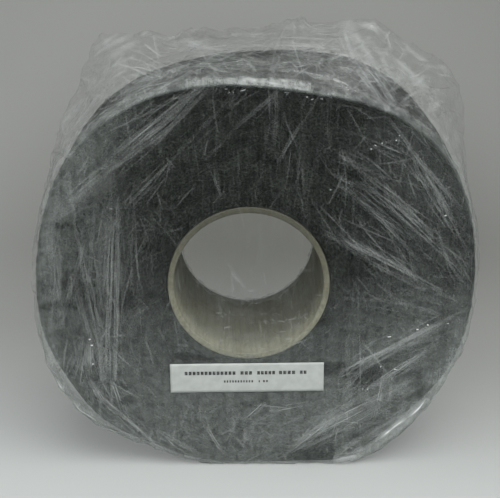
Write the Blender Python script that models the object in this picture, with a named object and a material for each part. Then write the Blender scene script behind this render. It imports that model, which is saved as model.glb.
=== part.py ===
"""A roll of fine steel wool ribbon on a cardboard core, standing on its rim in a clear film wrap.

Metres, +Z up. The core's axis runs along Y, and the side that faces -Y is the front.
The origin is on the surface that the roll stands on, under the core's axis, at mid width.
"""

import math

import bmesh
import bpy
import numpy as np

# Cardboard core
core_bore_radius = 0.0505
core_wall = 0.004
core_rim_chamfer = 0.0006
core_segments = 48

# Wound ribbon
ribbon_width = 0.098
roll_radius = 0.1495
roll_lean = 0.005       # further out on the right than on the left
roll_sag = 0.0025       # further out below than above
roll_oval = 0.00225     # wider than it is high
roll_skew = 0.00125     # wider between upper right and lower left
roll_square = 0.00375   # fuller at the four corners
flat_depth = 0.009      # how far the lowest turns are pressed in
flat_blend = 0.006      # softness of the corner between flank and flat spot
edge_round = 0.003
ribbon_turns = 8
turn_groove = 0.0016
roll_segments = 36
slope_shares = (-0.55, -0.2)   # rings of the wool and of the film across its front half

# Slow bumps of the roll's side, and how deep its front edge is let down: angle from +X in
# degrees, height or depth, and half width in degrees
roll_bumps = ((52, 0.0045, 26), (236, -0.004, 16), (325, -0.004, 18))
shoulders = ((64, 0.012, 28), (246, 0.009, 24))
shoulder_reach = 0.040   # how far back from the front edge it is let down

# Clear film
film_gauge = 0.00008
film_slack = 0.0009     # between the film's inner side and what it wraps
seam_height = 0.020     # the loose film over the top, up to its seam
seam_sharpness = 0.8
mouth_tuck = 0.014      # how far the gathered end goes into the core
pleat_count = 21
pleat_points = 4
pleat_height = 0.0026
crumple_size = 0.022
crumple_height = 0.001
wave_sizes = (0.019, 0.0075)   # waves along the loose film over the top
wave_height = 0.0022
billow_size = 0.016
billow_height = 0.0026
sway_size = 0.035
sway_reach = 0.005      # the loose film leans to the front and back by up to this

# Paper label
label_width = 0.106
label_height = 0.021
label_gauge = 0.00012
label_rim_gap = 0.003   # from the core's rim down to the label
label_tilt = math.radians(-0.4)
label_margin = 0.007    # the film is drawn smooth this far round the label

fit_gap = 0.0003        # between pieces that touch

# Loose lobes of film: angle from +X in degrees, height and half width in degrees
film_lobes = (
    (12, 0.002, 12),
    (46, 0.012, 9),
    (64, 0.014, 8),
    (79, 0.004, 7),
    (104, 0.002, 7),
    (120, 0.019, 8),
    (142, 0.002, 7),
    (232, 0.003, 14),
    (308, 0.010, 13),
)

# Long folds in the front of the film: start and end across and above the core's axis,
# height and half width
film_folds = (
    (-0.008, 0.134, -0.134, 0.036, 0.0045, 0.009),
    (0.024, 0.132, -0.084, 0.050, 0.0035, 0.008),
    (0.050, 0.100, 0.146, 0.000, 0.0045, 0.009),
    (0.056, 0.072, 0.128, 0.026, 0.0030, 0.008),
    (0.058, 0.040, 0.110, -0.004, 0.0030, 0.008),
    (-0.100, 0.090, -0.104, -0.090, 0.0035, 0.009),
    (-0.124, 0.010, -0.116, -0.076, 0.0030, 0.008),
    (0.146, -0.020, 0.066, -0.068, 0.0040, 0.009),
    (0.130, -0.070, 0.022, -0.124, 0.0035, 0.009),
)

core_radius = core_bore_radius + core_wall
core_length = ribbon_width   # the tube is cut to the ribbon's width
film_segments = pleat_count * pleat_points
film_clearance = film_gauge + film_slack
axis_height = roll_radius + roll_sag - roll_oval - roll_square - flat_depth
film_half_width = ribbon_width / 2 + film_clearance
film_edge_round = edge_round + film_clearance
label_drop = core_radius + label_rim_gap + label_height / 2


def material(name, colour, roughness, metallic=0.0, alpha=1.0):
    """A plain Principled material."""
    made = bpy.data.materials.new(name)
    made.use_nodes = True
    shader = made.node_tree.nodes["Principled BSDF"]
    shader.inputs["Base Color"].default_value = (*colour, 1.0)
    shader.inputs["Roughness"].default_value = roughness
    shader.inputs["Metallic"].default_value = metallic
    shader.inputs["Alpha"].default_value = alpha
    made.diffuse_color = (*colour, alpha)
    return made


def add_object(name, points, faces, finish):
    """An object from points and faces, with its normals facing out and round faces smooth."""
    mesh = bpy.data.meshes.new(name)
    mesh.from_pydata(np.asarray(points).tolist(), [], faces)
    work = bmesh.new()
    work.from_mesh(mesh)
    bmesh.ops.recalc_face_normals(work, faces=work.faces)
    work.to_mesh(mesh)
    work.free()
    mesh.shade_smooth()
    mesh.set_sharp_from_angle(angle=math.radians(50))
    mesh.materials.append(finish)
    made = bpy.data.objects.new(name, mesh)
    bpy.context.collection.objects.link(made)
    return made


def soft_least(a, b, softness):
    """The lesser of a and b, with the corner between them rounded off."""
    near = np.maximum(softness - np.abs(a - b), 0) / softness
    return np.minimum(a, b) - near * near * softness / 4


def ease(t):
    """A smooth step from 0 to 1."""
    t = np.clip(t, 0, 1)
    return t * t * (3 - 2 * t)


def bumps(theta, table):
    """The sum of smooth bumps: each has an angle from +X, a height and a half width in degrees."""
    degrees, total = np.degrees(theta), 0
    for angle, height, half_width in table:
        away = (degrees - angle + 180) % 360 - 180
        total = total + height * np.exp(-((away / half_width) ** 2))
    return total


def let_down(theta, y):
    """How far the roll's side is let down at a place y across it, most at its front edge."""
    forward = 1 - (y + ribbon_width / 2) / shoulder_reach
    return bumps(theta, shoulders) * min(max(forward, 0), 1) ** 2


def outline(theta, y, grown, floor_gap):
    """Radius of the sagged roll round the core's axis, with its flat spot."""
    full = (
        roll_radius
        + grown
        + roll_lean * np.cos(theta)
        - roll_sag * np.sin(theta)
        + roll_oval * np.cos(2 * theta)
        + roll_skew * np.sin(2 * theta)
        - roll_square * np.cos(4 * theta)
        + bumps(theta, roll_bumps)
        - let_down(theta, y)
    )
    floor = (axis_height - floor_gap) / np.maximum(-np.sin(theta), 0.05)
    return soft_least(full, floor, flat_blend)


def ring(theta, radius, y):
    """Points round the core's axis, at a height above the surface it stands on."""
    x, z = radius * np.cos(theta), axis_height + radius * np.sin(theta)
    return np.stack([x, np.broadcast_to(y, x.shape), z], axis=1)


def around(count):
    return np.arange(count) * 2 * np.pi / count


def bands(first, second, count):
    """Quads between two rings whose points start at the numbers first and second."""
    here = np.arange(count)
    after = (here + 1) % count
    return np.stack([first + here, first + after, second + after, second + here], axis=1).tolist()


def make_core(finish):
    """A tube with chamfered rims: its section is turned round the axis."""
    half, c = core_length / 2, core_rim_chamfer
    section = (
        (core_bore_radius, c - half),
        (core_bore_radius + c, -half),
        (core_radius - c, -half),
        (core_radius, c - half),
        (core_radius, half - c),
        (core_radius - c, half),
        (core_bore_radius + c, half),
        (core_bore_radius, half - c),
    )
    theta = around(core_segments)
    points = np.concatenate([ring(theta, radius + 0 * theta, y) for radius, y in section])
    faces = []
    for i in range(len(section)):
        faces += bands(i * core_segments, (i + 1) % len(section) * core_segments, core_segments)
    return add_object("cardboard_core", points, faces, finish)


def wound_face(side, bore, first):
    """One end of the roll: a spiral of soft ridges, one for each turn of the ribbon.

    Returns its points, its faces, and the numbers of its inner and outer rings.
    first is the number of its first point. The groove runs from the core's side at share 0
    to the outline at share 1, and the last turn runs out along the outline.
    """
    n, total = roll_segments, roll_segments * ribbon_turns
    half = ribbon_width / 2
    theta = around(n)
    face_edge = outline(theta, side * half, 0, film_gauge + fit_gap) - edge_round

    def place(step, share, depth):
        at = step % n
        radius = bore + (face_edge[at] - bore) * share
        return ring(theta[at], radius, side * (half - depth))

    edge_ring = np.arange(n)
    points = [place(edge_ring, 0.0, turn_groove), place(edge_ring, 1.0, 0.0)]
    groove = np.arange(1, total)
    share = groove / total
    points.append(place(groove, share, turn_groove * (1 - share**6)))
    crest = np.arange(1, total + n)
    low, high = np.clip((crest - n) / total, 0, 1), np.clip(crest / total, 0, 1)
    fullness = (high - low) * ribbon_turns
    points.append(place(crest, (low + high) / 2, turn_groove * (1 - fullness) * (high < 1)))

    def groove_point(step):
        if step <= 0:
            return first + step % n
        if step >= total:
            return first + n + step % n
        return first + 2 * n + step - 1

    def crest_point(step):
        if step == 0:
            return groove_point(0)
        if step == total + n:
            return groove_point(total)
        return first + 2 * n + total - 1 + step - 1

    faces = []
    for step in range(total + n):
        inner = (groove_point(step - n), groove_point(step + 1 - n))
        outer = (groove_point(step), groove_point(step + 1))
        ridge = (crest_point(step), crest_point(step + 1))
        for low_side, high_side in ((inner, ridge), (ridge, outer)):
            loop = [low_side[0], low_side[1], high_side[1], high_side[0]]
            loop = [v for k, v in enumerate(loop) if v != loop[k - 1]]
            if len(set(loop)) >= 3:
                faces.append(loop)
    return np.concatenate(points), faces, first, first + n


def make_roll(finish):
    """The wound ribbon: two spiral ends, rounded edges, a pressed flat spot and a bore."""
    n, half = roll_segments, ribbon_width / 2
    bore = (core_radius + fit_gap) / math.cos(math.pi / n)
    theta = around(n)
    front, front_faces, front_bore, front_edge = wound_face(-1, bore, 0)
    back, back_faces, back_bore, back_edge = wound_face(1, bore, len(front))
    points, faces = [front, back], front_faces + back_faces
    last, count = front_edge, len(front) + len(back)
    diagonal = math.sqrt(0.5)
    inset, back_set = edge_round * (1 - diagonal), edge_round * (1 - diagonal)
    straight = half - edge_round
    across = [(inset, back_set - half)]
    across += [(0, share * straight) for share in (-1, *slope_shares, 1)]
    across += [(inset, half - back_set)]
    for inset, y in across:
        radius = outline(theta, y, 0, film_gauge + fit_gap)
        points.append(ring(theta, radius - inset, y))
        faces += bands(last, count, n)
        last, count = count, count + n
    faces += bands(last, back_edge, n)
    faces += bands(back_bore, front_bore, n)
    return add_object("steel_wool_roll", np.concatenate(points), faces, finish)


def hashed(ix, iy, iz, seed):
    """A steady random number from 0 to 1 for each whole-number cell."""
    n = (ix * 374761393 + iy * 668265263 + iz * 1440662683 + seed * 974711) & 0xFFFFFFFF
    n = ((n ^ (n >> 13)) * 1274126177) & 0xFFFFFFFF
    return ((n ^ (n >> 16)) & 0xFFFF) / 65535.0


def noise(points, size, seed):
    """Smooth noise from -1 to 1, with cells of that size along each axis."""
    q = np.asarray(points) / np.asarray(size)
    cell = np.floor(q).astype(np.int64)
    f = q - cell
    f = f * f * f * (f * (f * 6 - 15) + 10)
    total = 0
    for dx in (0, 1):
        for dy in (0, 1):
            for dz in (0, 1):
                weight = (
                    (f[..., 0] if dx else 1 - f[..., 0])
                    * (f[..., 1] if dy else 1 - f[..., 1])
                    * (f[..., 2] if dz else 1 - f[..., 2])
                )
                total = total + weight * hashed(
                    cell[..., 0] + dx, cell[..., 1] + dy, cell[..., 2] + dz, seed
                )
    return total * 2 - 1


def creased(points, size, seed):
    """0 to 1, with sharp crests where the noise passes through zero."""
    widest = max(size)
    bent = [noise(points, widest, seed + k) for k in (1, 2, 3)]
    bent = points + 0.35 * widest * np.stack(bent, axis=-1)
    return (1 - np.minimum(np.abs(noise(bent, size, seed)) * 2.2, 1)) ** 1.5


def near_label(x, z):
    """0 on the smooth place round the label, 1 well away from it."""
    past_x = (np.abs(x) - label_width / 2) / label_margin
    past_z = (np.abs(z + label_drop) - label_height / 2) / label_margin
    return ease(np.maximum(past_x, past_z) - 1)


def fold_height(x, z):
    """How far the front of the film stands proud at a place across and above the axis."""
    height = np.zeros_like(x)
    for x0, z0, x1, z1, tall, half_width in film_folds:
        along_x, along_z = x1 - x0, z1 - z0
        length = math.hypot(along_x, along_z)
        along = ((x - x0) * along_x + (z - z0) * along_z) / length**2
        away = np.abs((x - x0) * along_z - (z - z0) * along_x) / length
        ends = ease(along * 6) * ease((1 - along) * 6)
        height = np.maximum(height, tall * ends * np.exp(-((away / half_width) ** 1.6)))
    return height * near_label(x, z)


def film_stand(theta):
    """How far the film's outline stands off the ribbon at mid width."""
    degrees = np.degrees(theta)
    seam = seam_height * ease((degrees - 12) / 36) * ease((175 - degrees) / 60)
    return seam + bumps(theta, film_lobes)


def film_ring(theta, s):
    """One ring of the film.

    s runs 0 to 1 up the front, 1 to 2 round the front edge, 2 to 3 across the side, 3 to 4
    round the back edge and 4 to 5 down the back to the core's rim.
    """
    half, e = film_half_width, film_edge_round
    turn = math.pi / 2 * min(max(s - 1 if s < 2.5 else 4 - s, 0), 1)
    side = -1 if s < 2.5 else 1
    y = side * (half - e * (1 - math.cos(turn)))
    if 2 < s < 3:
        y = (2 * (s - 2) - 1) * (half - e)
    edge = outline(theta, y, film_clearance, 0) - e
    stand = film_stand(theta)
    loose = stand * (1 - abs(y / half) ** seam_sharpness)
    out = edge + e * math.sin(turn) + loose
    pleat = 0 * theta
    if s < 1:
        out = edge * s
    if s > 4:
        out = edge + (core_radius - edge) * (s - 4)
        pleat = film_pleats(theta) * ease((s - 4) * 1.1)
    at = ring(theta, out, y + pleat)

    x, z = at[:, 0], at[:, 2] - axis_height
    arc = theta * roll_radius
    along = np.stack([arc, 0 * arc, 0 * arc], axis=1)
    sheet = creased(at, (crumple_size, 1.36 * crumple_size, crumple_size), 51)
    up = ease((np.sin(theta) - 0.15) / 0.5)
    slack = loose / np.maximum(stand, 1e-6) * np.clip(stand / 0.02, 0, 1)
    rise = 0 * theta
    if s <= 1:
        right = ease((x - 0.03) / 0.06) * ease((z + 0.10) / 0.08)
        left = ease((-x - 0.07) / 0.04)
        tall = crumple_height * (0.25 + 0.8 * right + 0.7 * left) * near_label(x, z)
        rise = tall * (sheet + 0.15) + fold_height(x, z) * ease((edge - out) / e + 0.35)
    rim = ease((s - 0.97) * 4) * ease((4.6 - s) * 2.5)
    waves = noise(along, wave_sizes[0], 61) + 0.6 * noise(along, wave_sizes[1], 62)
    billow = billow_height * noise(at, billow_size, 64)
    rise = rise + rim * crumple_height * (0.75 + 1.2 * sheet)
    rise = rise + slack * (wave_height * waves + billow) * (0.4 + 0.9 * up)
    rise = rise + ease((s - 4) * 4) * ease((5.3 - s) * 3) * crumple_height * (0.15 + 0.9 * sheet)
    rise = np.maximum(rise, 0)
    at[:, 0] += math.sin(turn) * np.cos(theta) * rise
    at[:, 2] += math.sin(turn) * np.sin(theta) * rise
    at[:, 1] += side * math.cos(turn) * rise + slack * up * sway_reach * noise(along, sway_size, 66)
    return at


def film_pleats(theta):
    """How far the gathers stand proud round the core's rear end."""
    wave = np.abs(np.sin(theta * pleat_count / 2 + 0.5 * np.sin(3 * theta)))
    return pleat_height * (0.12 + 0.75 * (1 - wave))


def film_rings():
    """The film from the middle of its front, over the rim and back into the core's rear end."""
    theta = around(film_segments)
    places = (0.19, 0.37, 0.46, 0.56, 0.65, 0.74, 0.83, 0.92, 1.0, 1.55)
    places += (2.0, *(2.5 + share / 2 for share in (*slope_shares, 0.0, 0.2, 0.55)), 3.0)
    places += (3.45, 4.0, 4.33, 4.67, 5.0)
    rings = [film_ring(theta, s) for s in places]
    pleat, inner = film_pleats(theta), core_bore_radius - film_clearance
    rings.append(ring(theta, inner - pleat / 2, film_half_width + pleat / 2))
    rings.append(ring(theta, inner - pleat, film_half_width - mouth_tuck))
    for at in rings:
        at[:, 2] = np.where(at[:, 2] < 1e-7, 0.0, at[:, 2])
    return rings


def make_film(finish):
    """The wrap: one thin skin, given its gauge on the inner side, open at its gathered end."""
    rings = film_rings()
    n = film_segments
    centre = np.array([[0.0, -film_half_width, axis_height]])
    points = np.concatenate([centre, *rings])
    faces = [[0, 1 + i, 1 + (i + 1) % n] for i in range(n)]
    for i in range(len(rings) - 1):
        faces += bands(1 + i * n, 1 + (i + 1) * n, n)
    made = add_object("film_wrap", points, faces, finish)
    wall = made.modifiers.new("gauge", "SOLIDIFY")
    wall.thickness = film_gauge
    wall.offset = -1.0
    return made


def make_label(finish):
    """A strip of paper on the smooth place in the film, below the core."""
    y = -film_half_width - fit_gap
    cross, rise = label_width / 2, label_height / 2
    corners = np.array([(-cross, -rise), (cross, -rise), (cross, rise), (-cross, rise)])
    turn = np.array(
        [
            [math.cos(label_tilt), math.sin(label_tilt)],
            [-math.sin(label_tilt), math.cos(label_tilt)],
        ]
    )
    x, z = (corners @ turn.T).T
    back = np.stack([x, np.full(4, y), z + axis_height - label_drop], axis=1)
    front = back - np.array([0.0, label_gauge, 0.0])
    sides = [[i, (i + 1) % 4, 4 + (i + 1) % 4, 4 + i] for i in range(4)]
    faces = [[3, 2, 1, 0], [4, 5, 6, 7], *sides]
    return add_object("paper_label", np.concatenate([back, front]), faces, finish)


def main():
    for old in list(bpy.data.objects):
        bpy.data.objects.remove(old, do_unlink=True)
    make_core(material("grey_board", (0.155, 0.150, 0.115), 0.85))
    make_roll(material("fine_steel_wool", (0.085, 0.090, 0.084), 0.5, 0.6))
    make_film(material("clear_film", (0.78, 0.80, 0.79), 0.12, 0.0, 0.35))
    make_label(material("label_paper", (0.60, 0.62, 0.60), 0.7))


main()
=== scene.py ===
import math

import bpy
import numpy as np
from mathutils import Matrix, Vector
from mathutils.bvhtree import BVHTree


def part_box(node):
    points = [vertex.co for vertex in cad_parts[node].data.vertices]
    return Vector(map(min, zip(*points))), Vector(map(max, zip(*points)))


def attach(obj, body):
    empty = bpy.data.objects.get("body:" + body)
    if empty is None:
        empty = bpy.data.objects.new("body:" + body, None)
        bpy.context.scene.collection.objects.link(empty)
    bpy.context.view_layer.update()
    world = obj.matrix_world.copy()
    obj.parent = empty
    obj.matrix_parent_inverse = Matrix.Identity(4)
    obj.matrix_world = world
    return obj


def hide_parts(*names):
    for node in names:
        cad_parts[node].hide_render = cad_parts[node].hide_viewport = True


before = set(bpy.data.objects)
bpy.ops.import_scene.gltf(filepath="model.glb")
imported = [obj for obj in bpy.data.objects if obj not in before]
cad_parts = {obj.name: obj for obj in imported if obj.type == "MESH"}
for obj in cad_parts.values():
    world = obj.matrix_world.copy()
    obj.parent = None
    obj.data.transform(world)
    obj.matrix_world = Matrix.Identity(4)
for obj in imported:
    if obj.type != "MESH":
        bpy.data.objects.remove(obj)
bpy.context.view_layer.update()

mm = 0.001

# The fixed frame: places that every piece below is worked out from
coreLow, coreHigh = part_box("cardboard_core")
woolLow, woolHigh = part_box("steel_wool_roll")
labelLow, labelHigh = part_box("paper_label")
axisHeight = (coreLow.z + coreHigh.z) / 2
coreRadius = (coreHigh.x - coreLow.x) / 2
coreHalf = (coreHigh.y - coreLow.y) / 2
coreWall = 4 * mm
boreRadius = coreRadius - coreWall
woolHalf = (woolHigh.y - woolLow.y) / 2
print("frame loaded: axis", round(axisHeight, 4), "half width", round(woolHalf, 4))


# Shared shape functions

def ease(t):  # smooth step from 0 to 1
    t = np.clip(t, 0, 1)
    return t * t * (3 - 2 * t)


def softLeast(a, b, softness):  # the lesser of a and b with a rounded corner between them
    near = np.maximum(softness - np.abs(a - b), 0) / softness
    return np.minimum(a, b) - near * near * softness / 4


def hashed(ix, iy, iz, seed):  # a steady random number from 0 to 1 for each whole-number cell
    n = (ix * 374761393 + iy * 668265263 + iz * 1440662683 + seed * 974711) & 0xFFFFFFFF
    n = ((n ^ (n >> 13)) * 1274126177) & 0xFFFFFFFF
    return ((n ^ (n >> 16)) & 0xFFFF) / 65535.0


def noise(p, size, seed):
    # smooth value noise from -1 to 1, with cells of that size along each axis
    q = np.asarray(p) / np.asarray(size)
    cell = np.floor(q).astype(np.int64)
    f = q - cell
    f = f * f * f * (f * (f * 6 - 15) + 10)
    total = 0
    for dx in (0, 1):
        for dy in (0, 1):
            for dz in (0, 1):
                weight = ((f[..., 0] if dx else 1 - f[..., 0])
                          * (f[..., 1] if dy else 1 - f[..., 1])
                          * (f[..., 2] if dz else 1 - f[..., 2]))
                total = total + weight * hashed(
                    cell[..., 0] + dx, cell[..., 1] + dy, cell[..., 2] + dz, seed)
    return total * 2 - 1


def creased(p, size, seed):  # 0 to 1, with sharp crests where the noise passes through zero
    widest = np.max(size)
    sway = np.stack([noise(p, widest, seed + k) for k in (1, 2, 3)], axis=-1)
    return (1 - np.minimum(np.abs(noise(p + 0.35 * widest * sway, size, seed)) * 2.2, 1)) ** 1.5


roll = {
    "radius": 0.1495, "lean": 0.005, "sag": 0.0025, "oval": 0.00225, "skew": 0.00125,
    "square": 0.00375, "flatBlend": 0.006, "edgeRound": 0.003, "turns": 8, "groove": 0.0016,
    # bumps: angle from +X, height, half width in degrees. The shoulders are let down by their
    # height at the front edge, and by nothing at the reach behind it
    "bumps": ((52, 0.0045, 26), (236, -0.004, 16), (325, -0.004, 18)),
    "shoulders": ((64, 0.012, 28), (246, 0.009, 24)), "reach": 0.040,
    # where the ribbon lies clear of the film, in the same three numbers
    "hollows": ((212, 0.0065, 14), (316, 0.0065, 12)),
}


def bumps(theta, table):  # the sum of smooth bumps round the axis
    degrees, total = np.degrees(theta), 0
    for angle, height, wide in table:
        away = (degrees - angle + 180) % 360 - 180
        total = total + height * np.exp(-((away / wide) ** 2))
    return total


def letDown(theta, y):  # how far the roll's side is let down, most at its front edge
    return bumps(theta, roll["shoulders"]) * np.clip(1 - (y + woolHalf) / roll["reach"], 0, 1) ** 2


def outline(theta, y=woolHalf, grown=0.0, floorGap=0.0004):
    # radius of the sagged roll: a circle with slow lobes, cut softly by the surface it stands on
    full = (roll["radius"] + grown + roll["lean"] * np.cos(theta) - roll["sag"] * np.sin(theta)
            + roll["oval"] * np.cos(2 * theta) + roll["skew"] * np.sin(2 * theta)
            - roll["square"] * np.cos(4 * theta) + bumps(theta, roll["bumps"]) - letDown(theta, y))
    floor = (axisHeight - floorGap) / np.maximum(-np.sin(theta), 0.05)
    return softLeast(full, floor, roll["flatBlend"])


def woolOutline(theta, y=woolHalf):  # the ribbon's own side: hollows at its front edge
    near = np.clip(1 - (y + woolHalf) / roll["reach"], 0, 1) ** 2
    return outline(theta, y) - bumps(theta, roll["hollows"]) * near


def around(theta, radius, y):  # points at an angle and radius round the core's axis
    return np.stack(np.broadcast_arrays(
        radius * np.cos(theta), y, axisHeight + radius * np.sin(theta)), axis=-1)


def putMesh(name, points, *faceSets):  # each set of faces has its own number of corners
    mesh = bpy.data.meshes.new(name)
    points = np.ascontiguousarray(points, np.float32).reshape(-1, 3)
    corners = np.concatenate([np.asarray(f, np.int32).ravel() for f in faceSets])
    sizes = np.concatenate([np.full(len(f), f.shape[1], np.int32) for f in faceSets])
    mesh.vertices.add(len(points))
    mesh.vertices.foreach_set("co", points.ravel())
    mesh.loops.add(len(corners))
    mesh.loops.foreach_set("vertex_index", corners)
    mesh.polygons.add(len(sizes))
    mesh.polygons.foreach_set("loop_start", np.cumsum(sizes) - sizes)
    mesh.update(calc_edges=True)
    mesh.validate()
    mesh.shade_smooth()
    made = bpy.data.objects.new(name, mesh)
    bpy.context.scene.collection.objects.link(made)
    return made


def gridFaces(rows, cols, closedRows=False):
    # quads of a grid whose columns go round; rows run from the front to the back
    row = np.arange(rows if closedRows else rows - 1)[:, None]
    col = np.arange(cols)[None, :]
    below, after = (row + 1) % rows, (col + 1) % cols
    return np.stack([row * cols + col, below * cols + col, below * cols + after,
                     row * cols + after], axis=-1).reshape(-1, 4)


def gridStrip(rows, cols):  # quads of an open grid, facing the front
    row, col = np.arange(rows - 1)[:, None] * cols, np.arange(cols - 1)[None, :]
    at = row + col
    return np.stack([at, at + 1, at + 1 + cols, at + cols], axis=-1).reshape(-1, 4)


def pointData(made, name, values, kind="FLOAT", field="value"):  # an attribute of each point
    made.data.attributes.new(name, kind, "POINT").data.foreach_set(
        field, np.ascontiguousarray(values, np.float32).ravel())


def relax(path, times):  # draws each inner point of a line towards its two neighbours
    for _ in range(times):
        path[..., 1:-1, :] = path[..., :-2, :] / 4 + path[..., 1:-1, :] / 2 + path[..., 2:, :] / 4


# Materials

def linear(hexColour):  # sRGB hex to linear colour
    parts = [int(hexColour[i:i + 2], 16) / 255 for i in (1, 3, 5)]
    return (*[c / 12.92 if c <= 0.04045 else ((c + 0.055) / 1.055) ** 2.4 for c in parts], 1.0)


def feed(node, inputs):
    # sets a node's inputs, given by place or by name: each is a number, an sRGB hex colour or the
    # output of another node
    for name, value in (inputs if isinstance(inputs, dict) else dict(enumerate(inputs))).items():
        if isinstance(value, bpy.types.NodeSocket):
            node.id_data.links.new(value, node.inputs[name])
        else:
            node.inputs[name].default_value = linear(value) if isinstance(value, str) else value


def add(tree, kind, inputs=(), out=0, **settings):
    # one shader node with its inputs and settings. It gives back the node's output of that place
    # or name
    node = tree.nodes.new("ShaderNode" + kind)
    for name, value in settings.items():
        setattr(node, name, value)
    feed(node, inputs)
    return node.outputs[out]


def newMaterial(name):  # the material, its node tree and its shader
    made = bpy.data.materials.new(name)
    made.use_nodes = True
    tree = made.node_tree
    return made, tree, tree.nodes["Principled BSDF"]


# settings for Map Range, whose inputs are the value, then from low, high, to low, high, and for
# Mix, whose inputs are the share at 0 and the two colours at 6 and 7
smooth = {"interpolation_type": "SMOOTHSTEP"}
colours = {"out": 2, "data_type": "RGBA"}


def grain(tree, place, scale, detail, rough, low, high, share=1.0, rest=0.0):
    # a share of noise on top of the rest: none of it at the noise's value low, all of it at high
    level = add(tree, "TexNoise", {
        "Vector": place, "Scale": scale, "Detail": detail, "Roughness": rough})
    level = add(tree, "MapRange", (level, low, high), **smooth)
    return add(tree, "Math", (level, share, rest), operation="MULTIPLY_ADD")


# Wound steel wool

wool = {
    "cols": 380, "faceRows": 96, "cornerRows": 10, "sideRows": 40, "backRows": 44,
    # uneven packing of the end faces, and streaks round the outer side: depth, size, seed
    "clumps": ((0.45 * mm, 0.024, 13), (0.25 * mm, 0.0065, 14)),
    "streaks": ((0.35 * mm, (0.03, 0.006, 0.03), 21), (0.3 * mm, (0.012, 0.0022, 0.012), 22)),
    "turnWave": 0.10, "ridgeSharpness": 0.7,   # the ridges of the turns: sway in turns, shape
}


def uneven(points, table, seed=0):  # the sum of noises, each from 0 to twice its depth
    return sum(deep * (1 + noise(points, size, seed + own)) for deep, size, own in table)


def faceEdge(theta, side):  # where an end face begins to round off
    return woolOutline(theta, side * woolHalf) - roll["edgeRound"]


def woundDepth(x, z, side=-1):
    # depth under the end face: one soft ridge for each turn of the spiral, with uneven packing
    r, theta = np.hypot(x, z), np.mod(np.arctan2(z, x), 2 * np.pi)
    edge, seed = faceEdge(theta, side), 0 if side < 0 else 40
    share = np.clip((r - coreRadius) / (edge - coreRadius), 0, 1)
    p = np.stack([x, 0 * x + seed, z], axis=-1)
    turn = share * roll["turns"] - theta / (2 * np.pi) + wool["turnWave"] * noise(p, 0.03, seed + 11)
    ridge = np.abs(np.sin(np.pi * turn)) ** wool["ridgeSharpness"]
    groove = roll["groove"] * (1 - ridge) * (0.65 + 0.35 * noise(p, 0.02, seed + 12))
    return groove + uneven(p, wool["clumps"], seed)


def makeWool():
    # a closed ring: rows run up the front face, over the rounded edge, across the outer side,
    # over the back edge and down the back face, and the last row joins the first in the bore
    theta = np.arange(wool["cols"]) * 2 * np.pi / wool["cols"]
    e = roll["edgeRound"]
    bore = coreRadius + 0.4 * mm
    rows = []
    for share in np.linspace(0, 1, wool["faceRows"]):
        out = bore + (faceEdge(theta, -1) - bore) * share
        deep = woundDepth(out * np.cos(theta), out * np.sin(theta))
        rows.append(around(theta, out, -woolHalf + deep * (1 - 0.6 * share ** 12)))
    turnIn = [(a, -1) for a in np.linspace(0, np.pi / 2, wool["cornerRows"])[1:]]
    flat = [(y, 0) for y in np.linspace(e - woolHalf, woolHalf - e, wool["sideRows"])[1:-1]]
    turnOut = [(a, 1) for a in np.linspace(np.pi / 2, 0, wool["cornerRows"])[:-1]]
    for value, side in turnIn + flat + turnOut:
        inset = 0 if side == 0 else e * (1 - math.sin(value))
        y = value if side == 0 else side * (woolHalf - e * (1 - math.cos(value)))
        out = woolOutline(theta, y) - inset
        deep = uneven(around(theta, out, y), wool["streaks"])
        tip = 0 if side == 0 else math.cos(value)
        rows.append(around(theta, out - deep * (1 - 0.5 * tip), y - side * 0.3 * deep))
    for share in np.linspace(1, 0, wool["backRows"]):
        out = bore + (faceEdge(theta, 1) - bore) * share
        deep = woundDepth(out * np.cos(theta), out * np.sin(theta), 1)
        rows.append(around(theta, out, woolHalf - deep * (1 - 0.6 * share ** 12)))
    points = np.stack(rows)
    points[..., 2] = np.maximum(points[..., 2], 0.4 * mm)
    return putMesh("woundWool", points, gridFaces(len(rows), wool["cols"], True))


def strandMesh(name, path, across, up, radius):
    # three-sided strands: path, across and up are (strands, points, 3), radius is (strands, points).
    # Each strand gets a random tone, most of them dull
    count, length = path.shape[:2]
    turns = np.radians([90, 210, 330])
    ring = (path[:, :, None] + radius[:, :, None, None] * (
        np.cos(turns)[:, None] * across[:, :, None] + np.sin(turns)[:, None] * up[:, :, None]))
    first = (np.arange(count) * length * 3)[:, None, None]
    at = np.arange(length - 1)[None, :, None] * 3 + first
    k = np.arange(3)[None, None, :]
    after = (k + 1) % 3
    one = np.stack([at + k, at + 3 + k, at + 3 + after], axis=-1).reshape(-1, 3)
    two = np.stack([at + k, at + 3 + after, at + after], axis=-1).reshape(-1, 3)
    start = first[:, 0] + np.array([0, 1, 2])
    end = first[:, 0] + (length - 1) * 3 + np.array([0, 2, 1])
    made = putMesh(name, ring.reshape(-1, 3), np.concatenate([one, two, start, end]))
    tone = np.random.default_rng(count).uniform(0, 1, (count, 1)) ** 1.6
    pointData(made, "tone", np.repeat(tone, length * 3, axis=1))
    return made


def unit(v):  # the same directions with length 1
    return v / np.maximum(np.linalg.norm(v, axis=-1, keepdims=True), 1e-12)


strands = {
    "points": 4, "front": 6000, "back": 2400, "outer": 4000, "edge": 1200,
    # least and most, in millimetres: radius, then length and height off the wool for those on the
    # faces, on the outer side, and for the springy loops at its edges
    "radius": (0.06, 0.13), "faceLength": (2.5, 9), "sideLength": (10, 34), "loopLength": (5, 13),
    "faceLift": (0.1, 0.75), "sideLift": (0.1, 0.7), "loopLift": (0.2, 2.4),
    # on the faces, this share keeps to the way round and the rest less so: spreads in radians
    "follow": 0.6, "followSpread": 0.45, "crossSpread": 1.6,
    # on the side and in its loops: spread of the heading and of the bend in radians
    "sideSpread": (0.3, 0.8), "loopSpread": (1.2, 3.2), "frontLoops": 0.75,
}


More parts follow.
